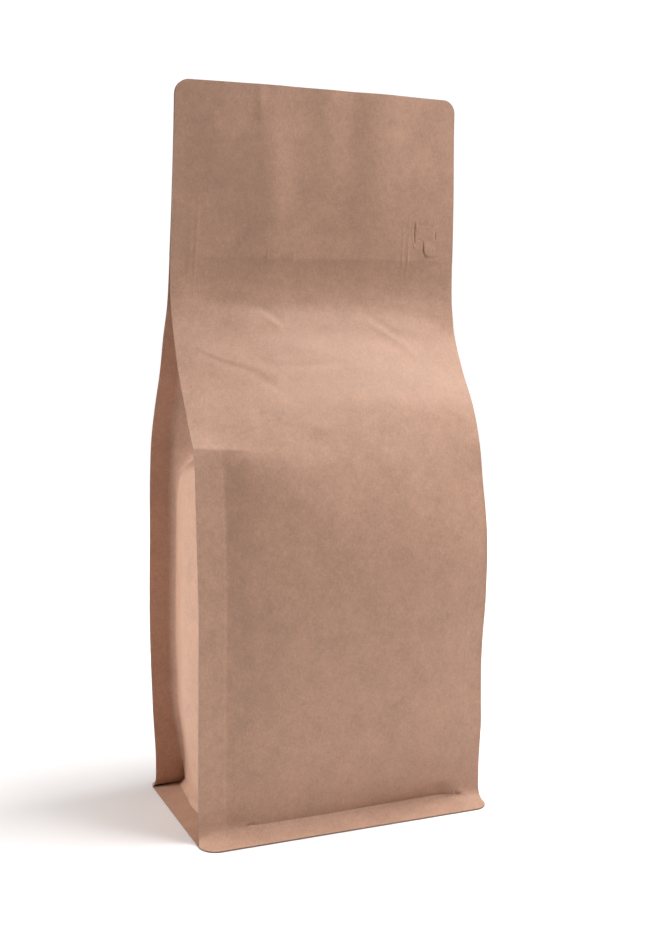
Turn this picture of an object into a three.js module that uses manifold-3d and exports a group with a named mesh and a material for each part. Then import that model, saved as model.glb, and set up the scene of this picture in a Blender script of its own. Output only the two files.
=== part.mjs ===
// Flat-bottom pouch, heat-sealed on all sides and filled: one closed solid standing on its base.
// Millimetres, +Z up, origin at the middle of the base; the front panel faces -Y and +X is to its right.
// The body is a loft of level cross-sections. Each one runs round the front panel, the right side
// fold, the back panel and the left side fold, and it pinches out into a seal at all four corners.
import * as THREE from "three";
import { mergeVertices } from "three/addons/utils/BufferGeometryUtils.js";
import Module from "manifold-3d";

// Driving sizes, mm
const HEIGHT = 333.5;
const PANEL_WIDTH = 140; // front and back panels, over both seals
const HEADER_NARROWING = 0.7; // each side of the header draws in by this towards its top edge
const HEADER_CORNER = 6; // radius of the two top corners
const BASE_WIDTH = 142; // over the skirt
const BASE_DEPTH = 93.6;
const BASE_CORNER = 8;
const SKIRT_WIDTH = 10.4; // rim to fold, front and back
const SKIRT_EDGE = 0.9; // thickness of the sealed skirt at its rim
const SKIRT_FOLD = 4.6; // height at which the walls leave the skirt
const FOLD_CORNER = 2; // radius of the fold line's corners
const SEAL_WIDTH = 9.5; // corner seals, seen from the front
const SEAL_THICKNESS = 1.2;
const BACK_SWELL = 0.4; // swell of the back panel as a share of the front one
const SIDE_LEAD = 2.6; // the side sheet runs on inwards by this before it turns
const SIDE_INSET = 1.56; // and leaves the panels by this, or by a tenth of a narrower gap
const SIDE_BULGE = 6.5; // outward swell of the filled side between its two seals
const SIDE_HALF_LENGTH = 38; // half of the side sheet, which folds inwards above the fill
const FILL_TOP = [163, 186]; // the side changes from swelling outwards to folding inwards
const SIDE_CLOSES = [224, 249]; // the fold shuts as the front and back panels meet

// Stations up the pouch: height, then the Y of the seal edges at the front left, front right,
// back left and back right, and how far the front swells out beyond the line between its edges.
const STATIONS = [
  [SKIRT_FOLD, -37.8, -40.2, 38.6, 39.6, -1.8],
  [15, -35.4, -37.3, 36.5, 37.0, 0.8],
  [40, -35.9, -38.9, 41.0, 40.2, 4.0],
  [74, -36.9, -38.4, 44.6, 43.4, 6.0],
  [102, -38.0, -41.4, 43.8, 43.8, 6.7],
  [128, -36.7, -41.8, 42.3, 42.8, 6.7],
  [154, -34.9, -36.6, 41.0, 39.6, 6.4],
  [171, -33.0, -32.2, 38.0, 36.4, 6.0],
  [190, -21.4, -24.4, 29.6, 28.8, 6.2],
  [206, -11.3, -13.9, 21.0, 20.2, 5.4],
  [222, -4.1, -5.2, 14.2, 12.4, 3.4],
  [236, 0.2, -2.1, 7.4, 5.0, 1.2],
  [252, 1.0, -1.4, 3.6, 1.4, 0.3],
  [278, -2.0, -2.3, -0.3, -0.6, 0.1],
  [HEIGHT, -7.4, -2.8, -5.8, -1.2, 0],
];

// The pull tab that opens the pack: a tongue cut through the front of the header on three sides,
// between two short upright slits. X and Z as seen from the front.
const TAB_BOX = [54.2, 60.2, 260]; // left side, right side, lower end
const TAB_TOP = 266.5;
const TAB_TURN = 0.8; // share of a half turn that the cut makes round the tongue's end
const SLITS = [
  [[49.2, 265.6], [49.2, 275.4]],
  [[60.2, 268.2], [60.2, 271.9]],
];
const SLIT_WIDTH = 0.5;
const SLIT_FLOOR = -1.3; // Y of the bottom of the cuts
const SLIT_REACH = 6;

// Resolution of the loft
const PANEL_STEPS = 20;
const SIDE_STEPS = 10;
const LEVEL_STEP = 6.4;
const CORNER_STEPS = 6;
const PANEL_BUNCHING = 0.86; // share of a quarter turn whose sine spreads the panel's points
const HAIR = 1e-4;

const smoothstep = ([from, to], v) => THREE.MathUtils.smoothstep(v, from, to);
const mix = THREE.MathUtils.lerp;

// Slope of one column of the stations at a row, from its neighbours.
function slopeAt(row, column) {
  const below = STATIONS[Math.max(row - 1, 0)];
  const above = STATIONS[Math.min(row + 1, STATIONS.length - 1)];
  return (above[column] - below[column]) / (above[0] - below[0]);
}

// Value of one column at height z, on a smooth curve through the stations.
function stationValue(z, column) {
  let row = 0;
  while (row < STATIONS.length - 2 && z > STATIONS[row + 1][0]) row += 1;
  const [lower, upper] = [STATIONS[row], STATIONS[row + 1]];
  const span = upper[0] - lower[0];
  const t = THREE.MathUtils.clamp((z - lower[0]) / span, 0, 1);
  const rise = slopeAt(row, column) * span;
  const end = slopeAt(row + 1, column) * span;
  return (
    lower[column] * (1 + 2 * t) * (1 - t) ** 2 +
    upper[column] * t * t * (3 - 2 * t) +
    rise * t * (1 - t) ** 2 +
    end * t * t * (t - 1)
  );
}

// All five station values at height z.
function station(z) {
  const [frontLeft, frontRight, backLeft, backRight, swell] = [1, 2, 3, 4, 5].map(
    (column) => stationValue(z, column),
  );
  return { frontLeft, frontRight, backLeft, backRight, swell };
}

// Half width of the panels at height z: the header draws in and ends in two round corners.
function halfWidth(z) {
  const drawn = HEADER_NARROWING * smoothstep([SIDE_CLOSES[1], HEIGHT], z);
  const above = Math.max(0, z - (HEIGHT - HEADER_CORNER));
  const corner = HEADER_CORNER - Math.sqrt(Math.max(0, HEADER_CORNER ** 2 - above ** 2));
  return PANEL_WIDTH / 2 - drawn - corner;
}

// Points of one panel from its left seal edge to its right one; side -1 is the front, +1 the back.
function panelPoints(z, side, s) {
  const w = halfWidth(z);
  const [left, right] = side < 0 ? [s.frontLeft, s.frontRight] : [s.backLeft, s.backRight];
  const swell = side * s.swell * (side < 0 ? 1 : BACK_SWELL);
  const spread = (PANEL_BUNCHING * Math.PI) / 2;
  return Array.from({ length: PANEL_STEPS + 1 }, (_, i) => {
    const u = Math.sin(spread * (-1 + (2 * i) / PANEL_STEPS)) / Math.sin(spread);
    return [u * w, mix(left, right, (u + 1) / 2) + swell * (1 - u * u)];
  });
}

// How far in the middle of the folded side sheet lies when its two seals are a gap apart: the
// sheet keeps its length, so each half of it is the long side of a right-angled triangle.
function foldDepth(gap) {
  const half = Math.min(gap / 2, SIDE_HALF_LENGTH);
  return Math.sqrt(SIDE_HALF_LENGTH ** 2 - half ** 2);
}

// Points of one side from the front seal's inner face to the back one's; side +1 is the right.
function sidePoints(z, side, s) {
  const w = halfWidth(z);
  const [front, back] = side > 0 ? [s.frontRight, s.backRight] : [s.frontLeft, s.backLeft];
  const gap = back - front;
  const seal = Math.min(SEAL_THICKNESS, gap / 4);
  const open = 1 - smoothstep(SIDE_CLOSES, z);
  const root = w - SEAL_WIDTH * open;
  const turn = root - SIDE_LEAD * open;
  const folded = smoothstep(FILL_TOP, z);
  const [near, far] = [front + seal, back - seal];
  const inset = Math.min(SIDE_INSET, gap / 10);
  const shut = ((1 - open) * inset) / 2; // keeps the points of a shut fold apart
  const points = [[w, near], [root, near + shut]];
  for (let i = 0; i <= SIDE_STEPS; i += 1) {
    const v = -1 + (2 * i) / SIDE_STEPS;
    const swell = SIDE_BULGE * (1 - v * v);
    const fold = -foldDepth(gap) * (1 - Math.abs(v));
    const y = mix(near + inset, far - inset, (v + 1) / 2);
    points.push([turn + open * mix(swell, fold, folded), y]);
  }
  points.push([root, far - shut], [w, far]);
  return points.map(([x, y]) => [side * x, y]);
}

// The whole cross-section at height z, anticlockwise seen from above.
function crossSection(z) {
  const s = station(z);
  return [
    ...panelPoints(z, -1, s),
    ...sidePoints(z, 1, s),
    ...panelPoints(z, 1, s).reverse(),
    ...sidePoints(z, -1, s).reverse(),
  ];
}

// Triangles over a flat loop. The points are shifted by a hair, each its own way, while they are
// joined up, so that points in line with their neighbours keep their place in the outline.
function capTriangles(loop) {
  const shifted = loop.map(
    ([x, y], k) => new THREE.Vector2(x + HAIR * Math.cos(k * k), y + HAIR * Math.sin(k * k)),
  );
  return THREE.ShapeUtils.triangulateShape(shifted, []);
}

// One closed surface through a pile of loops that have the same number of points each.
function loft(loops) {
  const count = loops[0].length;
  const positions = loops.flat(2);
  const index = [];
  for (let level = 0; level < loops.length - 1; level += 1) {
    for (let k = 0; k < count; k += 1) {
      const [a, b] = [level * count + k, level * count + ((k + 1) % count)];
      index.push(a, b, b + count, a, b + count, a + count);
    }
  }
  const top = (loops.length - 1) * count;
  for (const [a, b, c] of capTriangles(loops[0])) index.push(a, c, b);
  for (const [a, b, c] of capTriangles(loops.at(-1))) index.push(top + a, top + b, top + c);
  const geometry = new THREE.BufferGeometry();
  geometry.setAttribute("position", new THREE.Float32BufferAttribute(positions, 3));
  geometry.setIndex(index);
  return geometry;
}

// Rectangle with round corners at height z.
function roundedLoop(width, depth, radius, z) {
  const [coreX, coreY] = [width / 2 - radius, depth / 2 - radius];
  const corners = [[1, -1], [1, 1], [-1, 1], [-1, -1]];
  return corners.flatMap(([sx, sy], quarter) =>
    Array.from({ length: CORNER_STEPS + 1 }, (_, i) => {
      const angle = (quarter + i / CORNER_STEPS) * (Math.PI / 2);
      return [sx * coreX + radius * Math.sin(angle), sy * coreY - radius * Math.cos(angle), z];
    }),
  );
}

// The skirt: the base sheet and the ends of the four walls sealed flat together, rising from
// its rim to the fold where the walls turn up.
function skirt() {
  const foldWidth = PANEL_WIDTH - 2 * (SEAL_WIDTH + SIDE_LEAD);
  const foldDepthY = BASE_DEPTH - 2 * SKIRT_WIDTH;
  return loft([
    roundedLoop(BASE_WIDTH, BASE_DEPTH, BASE_CORNER, 0),
    roundedLoop(BASE_WIDTH, BASE_DEPTH, BASE_CORNER, SKIRT_EDGE),
    roundedLoop(foldWidth, foldDepthY, FOLD_CORNER, SKIRT_FOLD),
  ]);
}

// Heights of the cross-sections: even steps, closer together in the top corners.
function levels() {
  const straight = HEIGHT - HEADER_CORNER;
  const count = Math.round((straight - SKIRT_EDGE / 2) / LEVEL_STEP);
  const even = Array.from({ length: count }, (_, i) => mix(SKIRT_EDGE / 2, straight, i / count));
  const corner = Array.from(
    { length: CORNER_STEPS + 1 },
    (_, i) => straight + HEADER_CORNER * Math.sin(((i / CORNER_STEPS) * Math.PI) / 2),
  );
  return [...even, ...corner];
}

// The filled body with its four seals and the flat header.
function body() {
  return loft(levels().map((z) => crossSection(z).map(([x, y]) => [x, y, z])));
}

// A narrow cutter along a path of [x, z] points on the front of the header, down to SLIT_FLOOR.
function slitCutter(path) {
  const offset = (point, k, side) => {
    const [from, to] = [path[Math.max(k - 1, 0)], path[Math.min(k + 1, path.length - 1)]];
    const run = Math.hypot(to[0] - from[0], to[1] - from[1]);
    const half = (side * SLIT_WIDTH) / 2;
    const across = [(-half * (to[1] - from[1])) / run, (half * (to[0] - from[0])) / run];
    return new THREE.Vector2(point[0] + across[0], point[1] + across[1]);
  };
  const near = path.map((point, k) => offset(point, k, -1));
  const far = path.map((point, k) => offset(point, k, 1)).reverse();
  const outline = new THREE.Shape([...near, ...far]);
  const cutter = new THREE.ExtrudeGeometry(outline, { depth: SLIT_REACH, bevelEnabled: false });
  cutter.rotateX(Math.PI / 2).translate(0, SLIT_FLOOR, 0);
  cutter.deleteAttribute("normal").deleteAttribute("uv");
  return mergeVertices(cutter, HAIR);
}

// Edge of the pull tab: down its left side, round its lower end and a short way up its right.
function tabPath() {
  const [left, right, low] = TAB_BOX;
  const radius = (right - left) / 2;
  const round = Array.from({ length: 2 * CORNER_STEPS + 1 }, (_, i) => {
    const angle = Math.PI * (1 + (i / (2 * CORNER_STEPS)) * TAB_TURN);
    return [left + radius + radius * Math.cos(angle), low + radius + radius * Math.sin(angle)];
  });
  return [[left, TAB_TOP], ...round];
}

const kernel = await Module();
kernel.setup();

function toSolid(geometry) {
  const mesh = new kernel.Mesh({
    numProp: 3,
    vertProperties: new Float32Array(geometry.attributes.position.array),
    triVerts: new Uint32Array(geometry.index.array),
  });
  mesh.merge();
  return new kernel.Manifold(mesh);
}

function toGeometry(solid) {
  const mesh = solid.getMesh();
  const geometry = new THREE.BufferGeometry();
  geometry.setAttribute("position", new THREE.Float32BufferAttribute(mesh.vertProperties, 3));
  geometry.setIndex(new THREE.Uint32BufferAttribute(mesh.triVerts, 1));
  geometry.computeVertexNormals();
  return geometry;
}

const kraft = new THREE.MeshStandardMaterial({ color: 0xb08a70, roughness: 0.85, metalness: 0 });
const cutters = [tabPath(), ...SLITS].map((path) => toSolid(slitCutter(path)));
const closed = cutters.reduce((solid, cutter) => solid.subtract(cutter), toSolid(body()));
const pouch = new THREE.Mesh(toGeometry(closed.add(toSolid(skirt()))), kraft);
pouch.name = "pouch";

const part = new THREE.Group();
part.add(pouch);
export default part;
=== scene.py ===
"""A filled flat-bottom pouch of kraft paper laminate, standing on a pale floor in soft studio light.

The pouch is made as the real one is: five sheets of laminate, front, back, two sides and base,
which meet in sealed seams. Shapes are worked out in millimetres and written in metres.
"""
import math

import bpy
import numpy as np
from mathutils import Matrix


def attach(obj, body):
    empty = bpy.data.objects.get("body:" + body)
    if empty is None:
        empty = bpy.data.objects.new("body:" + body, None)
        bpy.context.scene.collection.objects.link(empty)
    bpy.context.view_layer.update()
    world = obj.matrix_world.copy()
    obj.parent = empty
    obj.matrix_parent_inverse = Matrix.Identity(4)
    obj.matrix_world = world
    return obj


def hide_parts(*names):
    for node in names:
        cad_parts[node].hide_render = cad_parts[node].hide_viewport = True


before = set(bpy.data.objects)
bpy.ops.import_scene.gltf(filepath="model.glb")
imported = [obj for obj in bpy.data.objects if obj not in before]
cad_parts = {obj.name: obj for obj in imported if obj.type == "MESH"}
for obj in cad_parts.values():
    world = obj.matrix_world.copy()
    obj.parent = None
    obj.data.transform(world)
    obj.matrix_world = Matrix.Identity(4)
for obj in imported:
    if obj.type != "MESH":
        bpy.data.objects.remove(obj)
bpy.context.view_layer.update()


# ---- Front sheet: the panel that faces the viewer, of kraft paper laminate, heat-sealed to the side
# ---- sheets in a flat strip down each corner and to the back sheet in the header. It has the pull
# ---- tab, cut through it, and the front edge of the skirt round the base.

HEIGHT = 333.5
HALF_WIDTH = 70.0
HEADER_START = 249.0
HEADER_NARROWING = 0.7
HEADER_CORNER = 6.0
HEADER_BOW = 2.4
CORNER_START = HEIGHT - HEADER_CORNER
ZIPPER_Z = 257.7
LEFT_SEAL_X, RIGHT_SEAL_X = 57.3, 69.0
SKIRT_X, SKIRT_Y, SKIRT_CORNER = 71.0, 46.8, 8.0
SKIRT_TURN_X = 58.0
FOLD_X, FOLD_Y, FOLD_Z = 58.5, 36.3, 4.6
WALL_START = 15.0
SHEET = 0.3
KRAFT_BROWN = (0.452, 0.2685, 0.187, 1)
# painted shade: the dark brown of the cut edges stands in for the shade that falls along the sheets' edges
EDGE_PAINTED_SHADE = (0.22, 0.15, 0.12, 1)
SKIRT_STEPS, CORNER_STEPS, INNER_SKIP = 24, 8, 3
# height, then Y of the seal edges at front left, front right, back left, back right, and the swell
STATIONS = np.array([
    [4.6, -37.8, -40.2, 38.6, 39.6, -1.8],
    [15, -35.4, -37.3, 36.5, 37.0, 0.8],
    [40, -35.9, -38.9, 41.0, 40.2, 4.0],
    [74, -36.9, -38.4, 44.6, 43.4, 6.0],
    [102, -38.0, -41.4, 43.8, 43.8, 6.7],
    [128, -36.7, -41.8, 42.3, 42.8, 6.7],
    [154, -34.9, -36.6, 41.0, 39.6, 6.4],
    [171, -33.0, -32.2, 38.0, 36.4, 6.0],
    [190, -21.4, -24.4, 29.6, 28.8, 6.2],
    [206, -11.3, -13.9, 21.0, 20.2, 5.4],
    [222, -4.1, -5.2, 14.2, 12.4, 3.4],
    [236, 0.2, -2.1, 7.4, 5.0, 1.2],
    [252, 1.0, -1.4, 3.6, 1.4, 0.3],
    [278, -2.0, -2.3, -0.3, -0.6, 0.1],
    [HEIGHT, -7.4, -2.8, -5.8, -1.2, 0],
])
FRONT_LEFT, FRONT_RIGHT, BACK_LEFT, BACK_RIGHT, SWELL = 1, 2, 3, 4, 5


def smooth(low, high, v):
    """Share from 0 at low to 1 at high, where low may be the greater of the two: three times the
    square of the way less twice its cube."""
    t = np.clip((v - low) / (high - low), 0, 1)
    return t * t * (3 - 2 * t)


def station(z, column):
    """A station value at height z, on the cubic through the two stations around it whose slope
    at each station is the slope between its neighbours."""
    zs, ys = STATIONS[:, 0], STATIONS[:, column]
    slope = np.gradient(ys, zs, edge_order=1)
    slope[1:-1] = (ys[2:] - ys[:-2]) / (zs[2:] - zs[:-2])
    k = np.clip(np.searchsorted(zs, z, side="right") - 1, 0, len(zs) - 2)
    span = zs[k + 1] - zs[k]
    t = np.clip((z - zs[k]) / span, 0, 1)
    return (ys[k] * (1 + 2 * t) * (1 - t) ** 2 + ys[k + 1] * t * t * (3 - 2 * t)
            + span * (slope[k] * t * (1 - t) ** 2 - slope[k + 1] * t * t * (1 - t)))


def half_width(z):
    """Half the width of the panels at height z: the header draws in towards the top, and its
    corners take off what a circle of the corner's radius leaves."""
    above = np.clip(z - CORNER_START, 0, HEADER_CORNER)
    corner = HEADER_CORNER - np.sqrt(np.maximum(HEADER_CORNER ** 2 - above ** 2, 0))
    return HALF_WIDTH - HEADER_NARROWING * smooth(HEADER_START, HEIGHT, z) - corner


def width_share(x, z):
    """x as a share of half the panel's width at height z, from -1 to 1, the round corners apart."""
    return x / half_width(np.clip(z, 0, CORNER_START))


def graded(low, high, count, *zones):
    """count + 1 values from low to high, packed closer in each zone (from, to, gain): the running
    total of the density, turned round so that equal shares of it fall between the values."""
    fine = np.linspace(low, high, 4001)
    density = np.ones_like(fine)
    for start, end, gain in zones:
        density += gain * smooth(start - 1.5, start, fine) * (1 - smooth(end, end + 1.5, fine))
    total = np.concatenate([[0], np.cumsum((density[1:] + density[:-1]) / 2)])
    return np.interp(np.linspace(0, total[-1], count + 1), total, fine)


def heights(count, corner_steps, *zones):
    """Heights of a sheet's rows: graded from the skirt to the round corners of the header, then at
    equal turns of the corner's circle."""
    turn = np.linspace(0, math.pi / 2, corner_steps + 1)
    return np.concatenate([graded(WALL_START, CORNER_START, count, *zones)[:-1],
                           CORNER_START + HEADER_CORNER * np.sin(turn)])


def ridge(x, z, path, width, height):
    """A crease along a path of (x, z) points: height times e to the minus square of the distance
    from the path over the width, faded in and out over the path's two ends."""
    best = np.full(np.broadcast(x, z).shape, 1e9)
    along = np.zeros_like(best)
    lengths = [math.dist(a, b) for a, b in zip(path, path[1:])]
    done = 0.0
    for (ax, az), (bx, bz), length in zip(path, path[1:], lengths):
        t = np.clip(((x - ax) * (bx - ax) + (z - az) * (bz - az)) / length ** 2, 0, 1)
        distance = np.hypot(x - ax - t * (bx - ax), z - az - t * (bz - az))
        nearer = distance < best
        best = np.where(nearer, distance, best)
        along = np.where(nearer, (done + t * length) / sum(lengths), along)
        done += length
    return height * np.exp(-(best / width) ** 2) * np.sin(np.pi * (0.12 + 0.76 * along))


def patch(x, z, centre, size, height, tilt=0.0):
    """A soft swelling: height times e to the minus square of the distance from the centre, with
    the distance measured in the two sizes, along axes turned by the tilt in degrees."""
    c, s = math.cos(math.radians(tilt)), math.sin(math.radians(tilt))
    dx, dz = x - centre[0], z - centre[1]
    return height * np.exp(-(((c * dx + s * dz) / size[0]) ** 2 + ((c * dz - s * dx) / size[1]) ** 2))


def drift(x, z, seed, wavelength, height):
    """Gentle unevenness of a hand-filled sheet: a sum of eighteen plane waves of mixed direction
    and phase, all near one wavelength, divided by the root of their number."""
    rng = np.random.default_rng(seed)
    total = np.zeros(np.broadcast(x, z).shape)
    for _ in range(18):
        angle, phase = rng.uniform(0, math.pi), rng.uniform(0, 2 * math.pi)
        k = 2 * math.pi / (wavelength * rng.uniform(0.7, 1.5))
        total += np.sin(k * (np.cos(angle) * x + np.sin(angle) * z) + phase)
    return height * total / math.sqrt(18)


def tab_relief(x, z):
    """The pull tab: a tongue cut through the sheet, which stands off at its lower left edge, with a
    groove round it, and the slits beside it. The tongue is the inside of a shape with a round
    lower end; the slits are crease paths."""
    low, left, right = 260.0, 54.2, 60.3
    middle, radius = (left + right) / 2, (right - left) / 2
    below = np.maximum(low + radius - z, 0)
    inside = radius - np.hypot(x - middle, below)
    stands = smooth(0, 0.35, inside) * (1 - smooth(262.5, 268.5, z))
    stands = stands * (1 - 0.55 * smooth(left, right, x))
    groove = smooth(0.6, 0, np.abs(inside + 0.3)) * smooth(267.5, 265.5, z)
    relief = 0.42 * stands - 0.3 * groove * smooth(right, left + 1, x)
    for path, depth, width in (
        ([(49.0, 275.6), (49.2, 270), (49.4, 265.4)], 0.42, 0.26),
        ([(49.6, 267.2), (50.8, 268.0), (52.3, 268.0), (53.6, 267.2), (54.2, 266.0)], 0.2, 0.28),
        ([(60.2, 272.0), (60.3, 268.2)], 0.36, 0.26),
        ([(57.4, 259.9), (59.5, 259.7), (62.6, 260.2)], 0.16, 0.35),
    ):
        relief -= ridge(x, z, path, width, depth)
    relief += ridge(x, z, [(49.9, 276.4), (50.0, 273.0)], 0.4, 0.4)
    relief += ridge(x, z, [(48.9, 266.2), (49.6, 264.2)], 0.4, 0.32)
    relief -= patch(x, z, (52, 265.8), (2.2, 1.8), 0.16)
    return relief


def header_relief(x, z):
    """Relief of the header: the step over the zipper behind the sheet, the soft waves above it as
    patches and broad creases, the zipper's short ticks, the seal lines at its ends and the tab."""
    relief = 0.1 * smooth(257.0, 258.4, z) * (1 - 0.5 * smooth(262, 285, z))
    for centre, size, height in (
        ((15, 322), (7.5, 30), -0.9), ((29, 306), (14, 34), 1.35), ((48, 300), (12, 34), -0.35),
        ((62, 285), (10, 30), -0.1), ((-24, 300), (9, 42), 1.4), ((-17, 296), (10, 40), -0.3),
        ((-30, 275), (10, 16), 0.45), ((-6, 316), (7, 14), -0.5), ((0, 285), (14, 20), -0.7),
        ((-46, 276), (16, 26), -0.4), ((-50, 276), (12, 9), -0.15), ((-46, 312), (14, 20), 1.0),
        ((-62, 300), (8, 30), -0.3), ((0, 262), (70, 6), 0.3), ((0, 335), (70, 10), 0.37),
    ):
        relief += patch(x, z, centre, size, height)
    relief += ridge(x, z, [(-31.5, 337), (-30, 319)], 1.7, 0.32)
    relief += ridge(x, z, [(-36, 336), (-25, 300), (-19, 264)], 5.0, 0.15)
    relief -= ridge(x, z, [(-24, 336), (-14, 300), (-8, 272)], 5.0, 0.17)
    relief -= ridge(x, z, [(30, 330), (36, 300), (38, 262)], 6.0, 0.13)
    relief += smooth(262, 300, z) * drift(x, z, 4, 46, 0.16)
    for tick, top, low, height in (
        (-25, 262, 256, 0.34), (-12, 261.6, 256.2, 0.3), (-1.6, 258.6, 256.2, 0.16),
        (43.1, 261.4, 254.6, 0.17), (46, 261.6, 254.4, 0.17),
    ):
        relief += ridge(x, z, [(tick, top), (tick, low)], 0.35, height)
    for line in (43.1, 46.0):
        relief += ridge(x, z, [(line, 286), (line, 246)], 0.5, 0.09)
    relief += ridge(x, z, [(-57.7, 284), (-59.4, 240)], 0.6, 0.17)
    relief += ridge(x, z, [(-61.0, 282), (-61.6, 248)], 0.7, 0.12)
    return relief * smooth(236, 252, z) + tab_relief(x, z)


def shoulder_relief(x, z):
    """Creases where the filled body runs into the flat header, most of them a narrow valley beside
    a ridge, and the soft hollows and swellings between them and down the body, as patches."""
    relief = np.zeros(np.broadcast(x, z).shape)
    for path, width, height in (
        ([(-60, 217.6), (-50.5, 212.9), (-44, 211.1), (-36, 208.8)], 1.0, 0.24),
        ([(-60, 215.8), (-50.5, 211.3), (-44, 209.5), (-37, 207.2)], 1.0, -0.24),
        ([(-39, 207), (-31, 201.8), (-24, 198)], 2.0, -0.26),
        ([(-37, 210), (-30, 206.8), (-23, 203.5)], 1.8, 0.14),
        ([(-34, 212.2), (-25.5, 209.4), (-12, 209.4), (7, 211.1)], 1.4, -0.24),
        ([(-57, 228.1), (-51.5, 227.6), (-47, 227)], 0.9, 0.15),
        ([(-31.5, 235.6), (-27, 234.9), (-23, 232.6), (-19, 229)], 1.6, -0.3),
        ([(-28, 232.4), (-24, 229.6), (-20, 226.2)], 1.6, 0.3),
        ([(24.5, 231.5), (30, 228.6), (34.5, 225.4), (39.5, 222.6)], 1.3, -0.2),
        ([(25, 228.2), (29, 225.6), (33, 223), (39, 219.6), (45.5, 212.6)], 1.5, 0.26),
        ([(-18, 185.5), (-10, 182.2), (-4, 179)], 2.2, 0.16),
        ([(-57, 216.5), (-46, 214.6), (-36, 211)], 2.0, 0.12),
        ([(-30, 219.6), (-14, 218.4), (4, 215)], 3.2, 0.26),
        ([(-39, 196), (-38, 187), (-38, 178)], 2.6, -0.2),
        ([(-62, 238), (-35, 236), (-5, 233.5)], 3.5, -0.32),
        ([(20, 238), (45, 236), (70, 231)], 4.0, 0.27),
        ([(15, 205), (40, 203), (64, 199)], 5.0, 0.49),
        ([(-20, 190), (15, 187), (45, 184)], 6.0, -0.22),
    ):
        relief += ridge(x, z, path, width, height)
    for centre, size, height in (
        ((-48, 225), (15, 13.5), -1.1), ((0, 227), (18, 13.5), -0.45), ((30, 206), (16, 14), -0.08),
        ((-50, 196), (14.5, 14.5), -0.5), ((49, 226), (14.5, 15), 0.78), ((0, 200), (15, 15), -0.3),
        ((50, 210), (15, 15), -0.17), ((-20, 180), (15, 15), -0.14), ((20, 180), (15, 15), -0.1),
        ((0, 160), (15, 15), -0.5), ((30, 150), (15, 15), -0.12), ((-15, 120), (15, 15), 0.3),
        ((48, 110), (15, 15), -0.16), ((48, 60), (15, 15), 0.16), ((20, 60), (15, 15), 0.15),
    ):
        relief += patch(x, z, centre, size, height)
    relief += drift(x, z, 11, 13, 0.045) * smooth(190, 215, z) * smooth(250, 236, z)
    return relief


def body_relief(x, z):
    """Relief of the filled front: the ridge, step and hollow along the left seal, the sharp kink
    across the left edge at the fill's top, by the square of one less the distance over its reach,
    the tilt towards the right edge and the slack above the base fold."""
    sealed = smooth(176, 160, z)
    relief = sealed * (ridge(x, z, [(-57, 170), (-58.2, 90), (-58.2, 12)], 0.8, 0.14)
                       - patch(x, z, (-52, 105), (5, 60), 0.35))
    relief -= sealed * 0.22 * smooth(-58.4, -56.6, x)
    valley = np.where(x < -LEFT_SEAL_X, (x + HALF_WIDTH) / (HALF_WIDTH - LEFT_SEAL_X),
                      smooth(-34, -LEFT_SEAL_X, x))
    relief -= smooth(172, 150, z) * 1.1 * valley
    kink_z, kink_reach = 175.3 - 0.07 * (x + 69), 9
    relief += 0.95 * (1 - np.minimum(np.abs(z - kink_z) / kink_reach, 1)) ** 2 * smooth(-32, -60, x)
    relief -= smooth(180, 150, z) * 1.2 * smooth(38, 76, x)
    relief += patch(x, z, (-42, 160), (9, 18), 0.35, 35)
    relief -= ridge(x, z, [(57, 12), (44, 22), (26, 28), (8, 30)], 4.0, 0.35)
    relief += ridge(x, z, [(54, 20), (38, 32), (14, 38)], 6.0, 0.3)
    relief += ridge(x, z, [(60.2, 160), (60, 20)], 0.8, 0.05)
    relief += drift(x, z, 7, 52, 0.14) + drift(x, z, 8, 17, 0.045)
    return relief * smooth(236, 205, z) * smooth(5, 9, z)


def swell_share(x, z, seals, power):
    """How much of the swell reaches each point of a panel. Above the fill it is one less the
    square of the share of the half width. Below, it is one less a higher power of the share of
    the way to the inner edge of the flat seal on that side, and its corner there is rounded by the
    root of its square and a small square."""
    u = width_share(x, z)
    inner = 1 - np.abs(x / np.where(x < 0, seals[0], seals[1])) ** power
    inner = (inner + np.sqrt(inner * inner + 0.0004)) / 2
    return inner + (1 - u * u - inner) * smooth(160, 188, z)


def front_y(x, z):
    """Y of the front sheet's outer face: between its two seal edges, less its share of the swell,
    less the relief. The header bows forwards by one less the square of the share of the width. The
    sheet leans in below the zipper, by three times the way down less its cube, comes out again at
    the brow where the fill begins, and has a waist and a rise below that, as bell curves."""
    x, z = np.broadcast_arrays(x, z)
    u = width_share(x, z)
    line = station(z, FRONT_LEFT) * (1 - u) / 2 + station(z, FRONT_RIGHT) * (1 + u) / 2
    brow = 237 - 2.5 * smooth(-48, -25, x) - 5 * smooth(20, 66, x)
    middle = 1 - u * u
    line = line - HEADER_BOW * middle * smooth(258, 300, z)
    relief = header_relief(x, z) + shoulder_relief(x, z) + body_relief(x, z)
    relief -= middle * (2.4 * np.exp(-((z - 174) / 15) ** 2) - 1.0 * np.exp(-((z - 213) / 12) ** 2))
    relief -= 0.46 * smooth(brow + 2, brow - 11, z) * smooth(203, 225, z) * smooth(70, 50, np.abs(x))
    under = np.clip((ZIPPER_Z - z) / 14, 0, 1)
    relief -= 0.68 * under * (3 - under ** 2) * smooth(brow - 8, brow + 4, z) * smooth(74, 44, np.abs(x))
    return line - station(z, SWELL) * swell_share(x, z, (LEFT_SEAL_X, RIGHT_SEAL_X), 2.4) - relief


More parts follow.
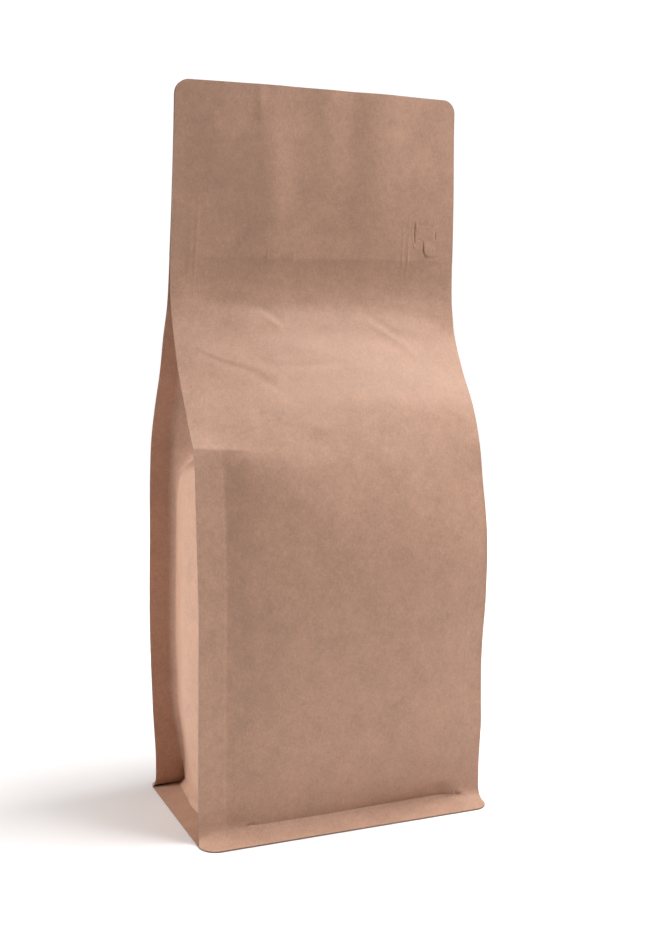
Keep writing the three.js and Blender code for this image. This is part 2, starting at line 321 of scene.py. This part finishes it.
def rim_point(x):
    """Where the column at x of a front or back sheet ends on the skirt's rim, as X and the
    distance from the middle plane: straight across, then round the corner's quarter circle."""
    turn = np.clip((np.abs(x) - SKIRT_TURN_X) / (HALF_WIDTH - SKIRT_TURN_X), 0, 1) * math.pi / 2
    straight = np.clip(np.abs(x), 0, SKIRT_TURN_X) / SKIRT_TURN_X * (SKIRT_X - SKIRT_CORNER)
    return (np.sign(x) * (straight + SKIRT_CORNER * np.sin(turn)),
            SKIRT_Y - SKIRT_CORNER + SKIRT_CORNER * np.cos(turn))


def skirt_part(columns, wall_y):
    """The lowest rows of a front or back sheet, from the rim up to the wall. Between the seals the
    sheet rises to the fold, which lies deeper at the right, and turns up there; at the seals it
    flares out in a curve, by the sixth power of the way down. wall_y and the result's Y are
    distances outwards."""
    tau = np.linspace(0, 1, SKIRT_STEPS + 1)[:, None]
    x = columns[None, :]
    rim_x, rim_y = rim_point(x)
    fold_at = 0.45
    lower = np.clip(tau / fold_at, 0, 1)
    upper = np.clip((tau - fold_at) / (1 - fold_at), 0, 1)
    fold_x = x * (FOLD_X / SKIRT_TURN_X)
    flat_x = rim_x + (fold_x - rim_x) * lower + (x - fold_x) * upper
    fold_y = FOLD_Y - 2.2 * smooth(-20, 44, x) * smooth(56, 48, x)
    flat_y = rim_y + (fold_y - rim_y) * lower + (wall_y - fold_y) * upper ** 0.55
    flat_z = 2 * SHEET + (FOLD_Z - 2 * SHEET) * lower ** 1.25 + (WALL_START - FOLD_Z) * upper
    curve_z = 2 * SHEET + (WALL_START - 2 * SHEET) * tau ** 1.8
    flare = (1 - (curve_z - 2 * SHEET) / (WALL_START - 2 * SHEET)) ** 6
    curve_x = x + (rim_x - x) * flare
    curve_y = wall_y + (rim_y - wall_y) * flare
    seal = np.where(x < 0, smooth(44, 54, -x), smooth(55, 63, x))
    return np.stack([flat_x + (curve_x - flat_x) * seal,
                     flat_y + (curve_y - flat_y) * seal,
                     flat_z + (curve_z - flat_z) * seal], -1)


def laminate(name, points, materials):
    """A closed sheet from a grid of points, rows upwards and columns to the right as seen from
    outside. The inner face is the outer one moved in by the sheet's thickness along its normals,
    which are the cross product of the grid's two directions, with one in three rows and columns
    kept. The rim, in the second material, joins the two. Texture coordinates are the distances
    along the middle row and column."""
    skip = INNER_SKIP
    rows, cols = points.shape[:2]
    across, up = np.gradient(points, axis=1), np.gradient(points, axis=0)
    normal = np.cross(across, up)
    normal /= np.maximum(np.linalg.norm(normal, axis=2, keepdims=True), 1e-9)
    inner = (points - SHEET * normal)[::skip, ::skip]
    run = lambda line: np.concatenate([[0], np.cumsum(np.linalg.norm(np.diff(line, axis=0), axis=1))])
    u, v = run(points[rows // 2]), run(points[:, cols // 2])
    uv = np.stack(np.broadcast_arrays(u[None, :], v[:, None]), -1)

    outer_id = np.arange(rows * cols).reshape(rows, cols)
    inner_id = rows * cols + np.arange(inner.shape[0] * inner.shape[1]).reshape(inner.shape[:2])
    quads = lambda g: np.stack([g[:-1, :-1], g[:-1, 1:], g[1:, 1:], g[1:, :-1]], -1).reshape(-1, 4)
    border = lambda g: np.concatenate([g[0, :-1], g[:-1, -1], g[-1, :0:-1], g[:0:-1, 0]])
    outer_rim, inner_rim = border(outer_id), border(inner_id)
    start = np.arange(len(inner_rim)) * skip
    edge = outer_rim[(start[:, None] + np.arange(skip, -1, -1)) % len(outer_rim)]
    rim = np.concatenate([edge, inner_rim[:, None], np.roll(inner_rim, -1)[:, None]], 1)

    vertices = np.concatenate([points.reshape(-1, 3), inner.reshape(-1, 3)]) * 0.001
    faces = quads(outer_id).tolist() + quads(inner_id)[:, ::-1].tolist() + rim.tolist()
    mesh = bpy.data.meshes.new(name)
    mesh.from_pydata(vertices.tolist(), [], faces)
    coordinates = np.concatenate([uv.reshape(-1, 2), uv[::skip, ::skip].reshape(-1, 2)]) * 0.001
    corner = np.zeros(len(mesh.loops), np.int32)
    mesh.loops.foreach_get("vertex_index", corner)
    mesh.uv_layers.new(name="sheet").data.foreach_set("uv", coordinates[corner].astype(np.float32).ravel())
    mesh.polygons.foreach_set("use_smooth", np.ones(len(faces), bool))
    kind = np.zeros(len(faces), np.int32)
    kind[len(faces) - len(rim):] = 1
    for material in materials:
        mesh.materials.append(material)
    mesh.polygons.foreach_set("material_index", kind)
    mesh.update()
    mesh.set_sharp_from_angle(angle=math.radians(42))
    sheet = bpy.data.objects.new(name, mesh)
    bpy.context.scene.collection.objects.link(sheet)
    return sheet


def new_node(tree, kind, **values):
    """A node of a tree with its inputs and properties set by name."""
    node = tree.nodes.new(kind)
    for key, value in values.items():
        if key in node.inputs:
            node.inputs[key].default_value = value
        else:
            setattr(node, key, value)
    return node


def kraft_group():
    """Unbleached paper: warm brown in clouds of every size from a hand's breadth down to the grain,
    with short fibres across each other and a few dark specks, and the height of its surface.
    Each shade is a noise less its middle value, times the share set for it, and they add up."""
    tree = bpy.data.node_groups.new("kraft_paper", "ShaderNodeTree")
    add = tree.interface.new_socket
    for name, kind, value in (("Tint", "NodeSocketColor", (0.45, 0.27, 0.19, 1)),
                              ("Cloud", "NodeSocketFloat", 0.74), ("Fibre", "NodeSocketFloat", 0.44),
                              ("Gloss Break", "NodeSocketFloat", 0.5)):
        add(name, in_out="INPUT", socket_type=kind).default_value = value
    add("Color", in_out="OUTPUT", socket_type="NodeSocketColor")
    add("Roughness", in_out="OUTPUT", socket_type="NodeSocketFloat")
    add("Height", in_out="OUTPUT", socket_type="NodeSocketFloat")
    link = tree.links.new
    given, out = tree.nodes.new("NodeGroupInput"), tree.nodes.new("NodeGroupOutput")

    def maths(operation, a, b, clamp=False):
        """One sum on two values or sockets."""
        node = new_node(tree, "ShaderNodeMath", operation=operation, use_clamp=clamp)
        for socket, value in zip(node.inputs, (a, b)):
            if isinstance(value, (int, float)):
                socket.default_value = value
            else:
                link(value, socket)
        return node.outputs[0]

    place = new_node(tree, "ShaderNodeTexCoord")
    cloud = new_node(tree, "ShaderNodeTexNoise", Scale=85.0, Detail=5.5, Roughness=0.95)
    grain = new_node(tree, "ShaderNodeTexNoise", Scale=1050.0, Detail=2.0, Roughness=0.8)
    specks = new_node(tree, "ShaderNodeTexVoronoi", Scale=300.0, Randomness=1.0)
    for texture in (cloud, grain, specks):
        link(place.outputs["Object"], texture.inputs["Vector"])
    sheet_place = new_node(tree, "ShaderNodeUVMap", uv_map="sheet")
    pile = 0.0
    for turn, shift in ((0.12, 0.0), (1.45, 7.0), (2.3, 13.0)):
        spin = new_node(tree, "ShaderNodeMapping", Location=(shift, shift, 0), Rotation=(0, 0, turn),
                        Scale=(2600.0, 300.0, 1.0))
        hair = new_node(tree, "ShaderNodeTexNoise", Scale=1.0, Detail=1.0, Roughness=0.5)
        link(sheet_place.outputs["UV"], spin.inputs["Vector"])
        link(spin.outputs["Vector"], hair.inputs["Vector"])
        pile = maths("ADD", pile, hair.outputs["Fac"])
    pile = maths("MULTIPLY", pile, 1 / 3)

    cloudy = maths("MULTIPLY", maths("SUBTRACT", cloud.outputs["Fac"], 0.5), given.outputs["Cloud"])
    hairy = maths("MULTIPLY", maths("SUBTRACT", pile, 0.5), given.outputs["Fibre"])
    grainy = maths("MULTIPLY", maths("SUBTRACT", grain.outputs["Fac"], 0.5), 0.46)
    chosen = new_node(tree, "ShaderNodeSeparateColor")
    link(specks.outputs["Color"], chosen.inputs["Color"])
    few = maths("GREATER_THAN", chosen.outputs["Red"], 0.9)
    spot = maths("SUBTRACT", 0.12, specks.outputs["Distance"], clamp=True)
    speckled = maths("MULTIPLY", maths("MULTIPLY", spot, few), -2.6)
    shade = maths("ADD", maths("ADD", cloudy, hairy), maths("ADD", grainy, speckled))
    bright = new_node(tree, "ShaderNodeHueSaturation")
    link(maths("ADD", 1.0, shade), bright.inputs["Value"])
    link(given.outputs["Tint"], bright.inputs["Color"])
    link(bright.outputs["Color"], out.inputs["Color"])
    link(maths("ADD", 0.62, maths("MULTIPLY", shade, given.outputs["Gloss Break"])),
         out.inputs["Roughness"])
    felt = maths("ADD", maths("MULTIPLY", pile, 0.5), maths("MULTIPLY", grain.outputs["Fac"], 0.35))
    link(maths("ADD", felt, maths("MULTIPLY", cloud.outputs["Fac"], 2.2)), out.inputs["Height"])
    return tree


def kraft_material(name, group, tint):
    """A kraft sheet: the paper group into a matt shader with a slight sheen."""
    material = bpy.data.materials.new(name)
    material.use_nodes = True
    tree = material.node_tree
    shader = tree.nodes["Principled BSDF"]
    shader.inputs["Specular IOR Level"].default_value = 0.35
    paper = new_node(tree, "ShaderNodeGroup", node_tree=group)
    paper.inputs["Tint"].default_value = tint
    bump = new_node(tree, "ShaderNodeBump", Strength=0.4, Distance=0.0001)
    tree.links.new(paper.outputs["Color"], shader.inputs["Base Color"])
    tree.links.new(paper.outputs["Roughness"], shader.inputs["Roughness"])
    tree.links.new(paper.outputs["Height"], bump.inputs["Height"])
    tree.links.new(bump.outputs["Normal"], shader.inputs["Normal"])
    return material


def painted_edge_shade_material():
    """The cut edge of the laminate, in a dark brown that is painted shade: darker than the paper's face,
    for the shade that falls along the sheets' edges.
    """
    material = bpy.data.materials.new("painted_edge_shade")
    material.use_nodes = True
    shader = material.node_tree.nodes["Principled BSDF"]
    shader.inputs["Base Color"].default_value = EDGE_PAINTED_SHADE
    shader.inputs["Roughness"].default_value = 0.6
    return material


paper_group = kraft_group()
kraft = kraft_material("kraft", paper_group, KRAFT_BROWN)
painted_edge_shade = painted_edge_shade_material()

# the grid is finer at the tab, the seal strip, the zipper's ticks, the kink and the shoulder
front_columns = graded(-HALF_WIDTH, HALF_WIDTH, 234, (48, 63, 3.4), (-61, -55, 0.8), (-26, -11, 0.9),
                       (42.5, 46.5, 1.5)) / HALF_WIDTH
front_rows = heights(292, CORNER_STEPS, (254, 277, 2.6), (170, 178, 1.8), (204, 236, 0.4))
wall_x = front_columns[None, :] * half_width(front_rows)[:, None]
wall_z = np.broadcast_to(front_rows[:, None], wall_x.shape)
wall = np.stack([wall_x, front_y(wall_x, wall_z), wall_z], -1)
lower = skirt_part(wall_x[0], -wall[0, :, 1])
# dents of the skirt: place, size and depth
for centre, size, depth in (
    ((-46.5, 4.8), (2.4, 0.9), 0.9), ((47, 9), (6, 2.6), 0.5), ((58.9, 6.4), (1.7, 1.1), -0.7),
):
    lower[..., 1] -= patch(lower[..., 0], lower[..., 2], centre, size, depth, 8)
lower[..., 1] *= -1
front_points = np.concatenate([lower[:-1], wall])
front = laminate("front_sheet", front_points, (kraft, painted_edge_shade))
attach(front, "root")
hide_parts("pouch")


# ---- Back sheet: the panel at the far side, of the same laminate and the same cut as the front one,
# ---- without a tab. It is sealed to the front in the header and to the sides below, and swells less.

BACK_SWELL = 0.4
BACK_SEAL_X = 59.0


def back_y(x, z):
    """Y of the back sheet's outer face, from its seal edges, a share of the swell and a few soft
    creases and dents of its own. It bows with the front sheet in the header, and is pinched to it
    in the middle of the top edge."""
    x, z = np.broadcast_arrays(x, z)
    u = width_share(x, z)
    line = station(z, BACK_LEFT) * (1 - u) / 2 + station(z, BACK_RIGHT) * (1 + u) / 2
    pinch = 0.7 * smooth(322, 331, z) * smooth(26, 18, np.abs(x))
    pinch = pinch + HEADER_BOW * (1 - u * u) * smooth(258, 300, z)
    relief = drift(x, z, 21, 48, 0.25) * smooth(240, 210, z) * smooth(5, 12, z)
    relief += ridge(x, z, [(44, 226), (30, 221), (12, 223)], 2.6, 0.7)
    relief -= ridge(x, z, [(-52, 218), (-36, 214), (-24, 217)], 2.4, 0.7)
    relief += ridge(x, z, [(-20, 230), (-4, 226), (10, 229)], 2.2, 0.4)
    relief -= patch(x, z, (10, 206), (20, 6), 0.7, 6)
    relief += smooth(256.6, 258.4, z) * 0.25 * (1 - smooth(262, 290, z))
    relief += smooth(250, 290, z) * drift(x, z, 23, 50, 0.2)
    swell = BACK_SWELL * station(z, SWELL) * swell_share(x, z, (BACK_SEAL_X, BACK_SEAL_X), 2.2)
    return line + swell + relief - pinch


back_columns = graded(-HALF_WIDTH, HALF_WIDTH, 120, (-62, -56, 0.7), (56, 62, 0.7)) / HALF_WIDTH
back_rows = heights(226, CORNER_STEPS, (204, 236, 0.6))
wall_x = back_columns[None, :] * half_width(back_rows)[:, None]
wall_z = np.broadcast_to(back_rows[:, None], wall_x.shape)
wall = np.stack([wall_x, back_y(wall_x, wall_z), wall_z], -1)
lower = skirt_part(wall_x[0], wall[0, :, 1])
back_points = np.concatenate([lower[:-1], wall])[:, ::-1]
back = laminate("back_sheet", back_points, (kraft, painted_edge_shade))
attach(back, "root")
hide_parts("pouch")


# ---- Side sheets: the left and right walls, of the same laminate, sealed to the front and back
# ---- sheets along the corners, swollen by the fill, folded inwards above it and sealed flat to the
# ---- base sheet below.

SEAL_WIDTH = 9.5
SIDE_LEAD = 2.6
SIDE_BULGE = 6.5
SIDE_HALF_LENGTH = 39.3
SIDE_FOLD = 2.6
FIN_HEM = 0.5
FOOT_FOLD_X, FOOT_FOLD_DROP = 60.2, 5.3
NOTCH_Y, NOTCH_HALF_WIDTH = 9.0, 1.1
FOLD_ROUNDNESS = 0.0012
SEAL_STEPS, TURN_STEPS, FACE_STEPS, FOOT_STEPS, SIDE_CORNER_STEPS = 9, 6, 48, 15, 6
# height where the fold begins at the front seal, in the middle and at the back seal
FOLD_STARTS = (178.0, 172.0, 154.0)


def side_points(sign):
    """The grid of one side sheet, columns from the front seal's edge to the back one's. Across, it
    follows the front sheet's inner face to the seal's root, turns through a quarter of an ellipse,
    crosses to the back and leaves in the same way. Below the fill's top it swells out by the
    square of the cosine. Above, it folds in along its middle, as deep as its own length allows, by
    one less a power of the way from the middle to the seal, which makes the hollow round at first
    and a crease higher up."""
    z = heights(225, SIDE_CORNER_STEPS, (150, 190, 0.5))[:, None]
    width = half_width(z)
    root = width - SEAL_WIDTH - 3.0 * smooth(46, WALL_START, z)
    front, back = front_y(sign * root, z) + 2 * SHEET, back_y(sign * root, z) - 2 * SHEET
    gap = back - front
    lead = SIDE_LEAD * smooth(3, 14, gap) - 1.2 * smooth(46, WALL_START, z)
    inset = np.minimum(2.6, 0.2 * gap) - 1.4 * smooth(46, WALL_START, z)
    t = np.linspace(0, 1, SEAL_STEPS + 1)[None, :-1]
    seal_x = width + (root - width) * t
    turn = np.linspace(0, math.pi / 2, TURN_STEPS + 1)[None, :-1]
    flat = turn / (math.pi / 2)
    turn_x = root - lead * (0.25 * np.sin(turn) + 0.75 * flat)
    turn_in = inset * (0.25 * (1 - np.cos(turn)) + 0.75 * flat)
    v = np.linspace(-1, 1, FACE_STEPS + 1)[None, :]
    face_y = front + inset + (gap - 2 * inset) * (v + 1) / 2
    half = np.minimum(gap / 2, SIDE_HALF_LENGTH)
    depth = np.sqrt(SIDE_HALF_LENGTH ** 2 - half ** 2) * smooth(0.5, 6, gap)
    folded = smooth(-12, 10, z - np.interp(v, (-1, 0, 1), FOLD_STARTS))
    swell = SIDE_BULGE * (1 - 0.25 * smooth(60, WALL_START, z)) * np.cos(v * math.pi / 2) ** 2
    swell = swell + smooth(48, 12, z) * 0.6 * (1 - np.abs(v)) ** 4
    fold = depth * (1 - (v * v + FOLD_ROUNDNESS) ** (1.2 - 0.6 * smooth(168, 194, z)))
    dent = drift(v * 38, z, 31 + sign, 30, 0.25) * np.cos(v * math.pi / 2)
    face_x = root - lead + (1 - folded) * (swell + dent) - folded * fold
    near_x, far_x = sign * seal_x, sign * seal_x[:, ::-1]
    x = np.concatenate([near_x, sign * turn_x, sign * face_x, sign * turn_x[:, ::-1], far_x], 1)
    y = np.concatenate([front_y(near_x, z) + 2 * SHEET, front + turn_in, face_y,
                        (back - turn_in)[:, ::-1], back_y(far_x, z) - 2 * SHEET], 1)
    return np.stack([x, y, np.broadcast_to(z, x.shape)], -1)


def side_foot(wall_row, sign, notch):
    """The rows below the wall: the middle of the sheet turns out at the fold and lies on the base
    sheet as far as the skirt's rim, which has a small notch; the seals end on the line between the
    two. The fold's X drops by a power of the distance from the middle."""
    x, y = np.abs(wall_row[None, :, 0]), wall_row[None, :, 1]
    count = wall_row.shape[0]
    place = np.arange(count)[None, :]
    first, last = SEAL_STEPS + 1, count - 2 - SEAL_STEPS
    middle = ((place >= first) & (place <= last)).astype(float)
    tau = np.linspace(0, 1, FOOT_STEPS + 1)[:-1, None]
    lower = np.clip(tau / 0.5, 0, 1)
    upper = np.clip((tau - 0.5) / 0.5, 0, 1)
    reach = SKIRT_Y - SKIRT_CORNER
    share = np.clip((place - first) / (last - first), 0, 1)
    away = np.abs(2 * share - 1)
    rim_y = -reach + 2 * reach * share
    rim_x = SKIRT_X - notch * np.exp(-((rim_y - NOTCH_Y) / NOTCH_HALF_WIDTH) ** 2)
    fold_x = FOOT_FOLD_X - FOOT_FOLD_DROP * away ** 1.2
    fold_y = y + (rim_y - y) * 0.35
    fold_z = SIDE_FOLD - 1.4 * smooth(0.4, 1.0, away)
    face = [rim_x + (fold_x - rim_x) * lower + (x - fold_x) * upper,
            rim_y + (fold_y - rim_y) * lower + (y - fold_y) * upper,
            2 * SHEET + (fold_z - 2 * SHEET) * lower + (WALL_START - fold_z) * upper]
    end_z = SIDE_FOLD - 0.8
    seal_z = end_z + FIN_HEM * lower + (WALL_START - end_z - FIN_HEM) * upper
    down = (WALL_START - seal_z) / (WALL_START - end_z)
    side = np.where(place < count / 2, -1.0, 1.0)
    seal = [HALF_WIDTH - (HALF_WIDTH - x) * (1 + 0.2 * down), y + side * 1.6 * down ** 3, seal_z]
    points = np.stack([face[k] * middle + seal[k] * (1 - middle) for k in range(3)], -1)
    points[..., 0] *= sign
    return points


for side_name, sign, notch in (("side_sheet_left", -1, 0.9), ("side_sheet_right", 1, 0.0)):
    wall = side_points(sign)
    points = np.concatenate([side_foot(wall[0], sign, notch), wall])
    if sign < 0:
        points = points[:, ::-1]
    side = laminate(side_name, points, (kraft, painted_edge_shade))
    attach(side, "root")
    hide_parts("pouch")


# ---- Base sheet: the flat bottom that the pouch stands on, of the same laminate, sealed to the four
# ---- walls all round, where its edge is the lowest layer of the skirt.

BASE_STEPS = (96, 66)


def base_points(across, deep):
    """A flat grid with round corners: each point of a square grid is moved along its ray from the
    middle, so that the square's edge lands on the rectangle with round corners."""
    u, v = np.meshgrid(np.linspace(-1, 1, across + 1), np.linspace(-1, 1, deep + 1))
    reach = np.maximum(np.maximum(np.abs(u), np.abs(v)), 1e-9)
    x, y = u / reach * SKIRT_X, v / reach * SKIRT_Y
    over_x = np.maximum(np.abs(x) - (SKIRT_X - SKIRT_CORNER), 0)
    over_y = np.maximum(np.abs(y) - (SKIRT_Y - SKIRT_CORNER), 0)
    pull = np.minimum(1, SKIRT_CORNER / np.maximum(np.hypot(over_x, over_y), 1e-9))
    x = np.sign(x) * (np.abs(x) - over_x * (1 - pull))
    y = np.sign(y) * (np.abs(y) - over_y * (1 - pull))
    return np.stack([x * reach, y * reach, np.zeros_like(x)], -1)


base_grid = base_points(*BASE_STEPS)[:, ::-1]
base = laminate("base_sheet", base_grid, (kraft, painted_edge_shade))
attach(base, "root")
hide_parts("pouch")


# ---- Stage: a pale table top, a matt board that darkens with distance for the light that it throws
# ---- back, and glows white there for the camera alone, so that it runs into the background.

FLOOR_REACH, FLOOR_Z = 40.0, -0.0001

floor_mesh = bpy.data.meshes.new("floor")
floor_mesh.from_pydata([(across * FLOOR_REACH, deep * FLOOR_REACH, FLOOR_Z)
                        for across, deep in ((-1, -1), (1, -1), (1, 1), (-1, 1))], [], [(0, 1, 2, 3)])
floor = bpy.data.objects.new("floor", floor_mesh)
bpy.context.scene.collection.objects.link(floor)
pale = bpy.data.materials.new("pale_floor")
pale.use_nodes = True
tree = pale.node_tree
shader = tree.nodes["Principled BSDF"]
shader.inputs["Roughness"].default_value = 0.9
shader.inputs["Specular IOR Level"].default_value = 0.1
shader.inputs["Emission Color"].default_value = (1, 1, 1, 1)
where = new_node(tree, "ShaderNodeTexCoord")
far = new_node(tree, "ShaderNodeVectorMath", operation="LENGTH")
table = new_node(tree, "ShaderNodeMapRange", interpolation_type="SMOOTHSTEP")
glow = new_node(tree, "ShaderNodeMapRange", interpolation_type="SMOOTHSTEP")
for spread, values in ((table, (0.6, 1.1, 0.9, 0.1)), (glow, (0.3, 0.9, 0.0, 1.0))):
    for socket, value in zip(spread.inputs[1:5], values):
        socket.default_value = value
    tree.links.new(far.outputs["Value"], spread.inputs[0])
seen = new_node(tree, "ShaderNodeLightPath")
shown = new_node(tree, "ShaderNodeMath", operation="MULTIPLY")
tree.links.new(where.outputs["Object"], far.inputs[0])
tree.links.new(table.outputs[0], shader.inputs["Base Color"])
tree.links.new(glow.outputs[0], shown.inputs[0])
tree.links.new(seen.outputs["Is Camera Ray"], shown.inputs[1])
tree.links.new(shown.outputs[0], shader.inputs["Emission Strength"])
floor_mesh.materials.append(pale)


# ---- Light: a large soft key high at the right, a low softbox at the left, and one overhead. The
# ---- room itself is dim and warm, but looks white to the camera, as a lit studio wall does.

world = bpy.data.worlds.new("room")
world.use_nodes = True
nodes = world.node_tree.nodes
nodes["Background"].inputs["Color"].default_value = (1, 0.4, 0.2, 1)
nodes["Background"].inputs["Strength"].default_value = 0.03
wall_light = new_node(world.node_tree, "ShaderNodeBackground", Strength=1.05, Color=(1, 1, 1, 1))
seen = new_node(world.node_tree, "ShaderNodeLightPath")
choice = new_node(world.node_tree, "ShaderNodeMixShader")
world.node_tree.links.new(seen.outputs["Is Camera Ray"], choice.inputs[0])
world.node_tree.links.new(nodes["Background"].outputs[0], choice.inputs[1])
world.node_tree.links.new(wall_light.outputs[0], choice.inputs[2])
world.node_tree.links.new(choice.outputs[0], nodes["World Output"].inputs["Surface"])
bpy.context.scene.world = world


def softbox(name, azimuth, elevation, distance, size, power):
    """A rectangular light that faces the middle of the pouch from an azimuth (0 in front, 90 at the
    right) and an elevation in degrees."""
    data = bpy.data.lights.new(name, "AREA")
    data.shape, data.size, data.size_y, data.energy = "RECTANGLE", size[0], size[1], power
    lamp = bpy.data.objects.new(name, data)
    lamp.visible_camera = False
    a, e = math.radians(azimuth), math.radians(elevation)
    away = np.array([math.cos(e) * math.sin(a), -math.cos(e) * math.cos(a), math.sin(e)])
    right = np.array([math.cos(a), math.sin(a), 0.0])
    turn = Matrix(np.stack([right, np.cross(away, right), away], 1).tolist()).to_4x4()
    lamp.matrix_world = Matrix.Translation(distance * away + np.array([0, 0, 0.15])) @ turn
    bpy.context.scene.collection.objects.link(lamp)
    return lamp


softbox("key_right", 66, 57, 0.92, (0.75, 0.5), 13.8)
softbox("low_left", 257, 14, 1.3, (0.6, 0.5), 17.0)
softbox("overhead", 0, 90, 1.3, (0.6, 0.6), 6.5)


# ---- Camera: where the photograph was taken from, found from the outline of the pouch. The angles
# ---- are in radians, the place in metres, and the focal length a share of the picture's height.

YAW, PITCH, ROLL = 0.39582666, 0.11813407, 0.00387915
CAMERA_PLACE = (-0.225645, -0.551002, 0.233018)
FOCAL_SHARE = 1268.11887 / 928
SENSOR = 36.0
forward = np.array([math.sin(YAW) * math.cos(PITCH), math.cos(YAW) * math.cos(PITCH), -math.sin(PITCH)])
right = np.array([math.cos(YAW), -math.sin(YAW), 0.0])
upward = np.cross(right, forward)
right, upward = (math.cos(ROLL) * right + math.sin(ROLL) * upward,
                 math.cos(ROLL) * upward - math.sin(ROLL) * right)
camera_data = bpy.data.cameras.new("camera")
camera_data.sensor_width = SENSOR
camera_data.lens = SENSOR * FOCAL_SHARE
camera_data.clip_start = 0.01
camera = bpy.data.objects.new("camera", camera_data)
turn = Matrix(np.stack([right, upward, -forward], 1).tolist()).to_4x4()
camera.matrix_world = Matrix.Translation(CAMERA_PLACE) @ turn
bpy.context.scene.collection.objects.link(camera)
bpy.context.scene.camera = camera
bpy.context.scene.view_settings.view_transform = "Standard"
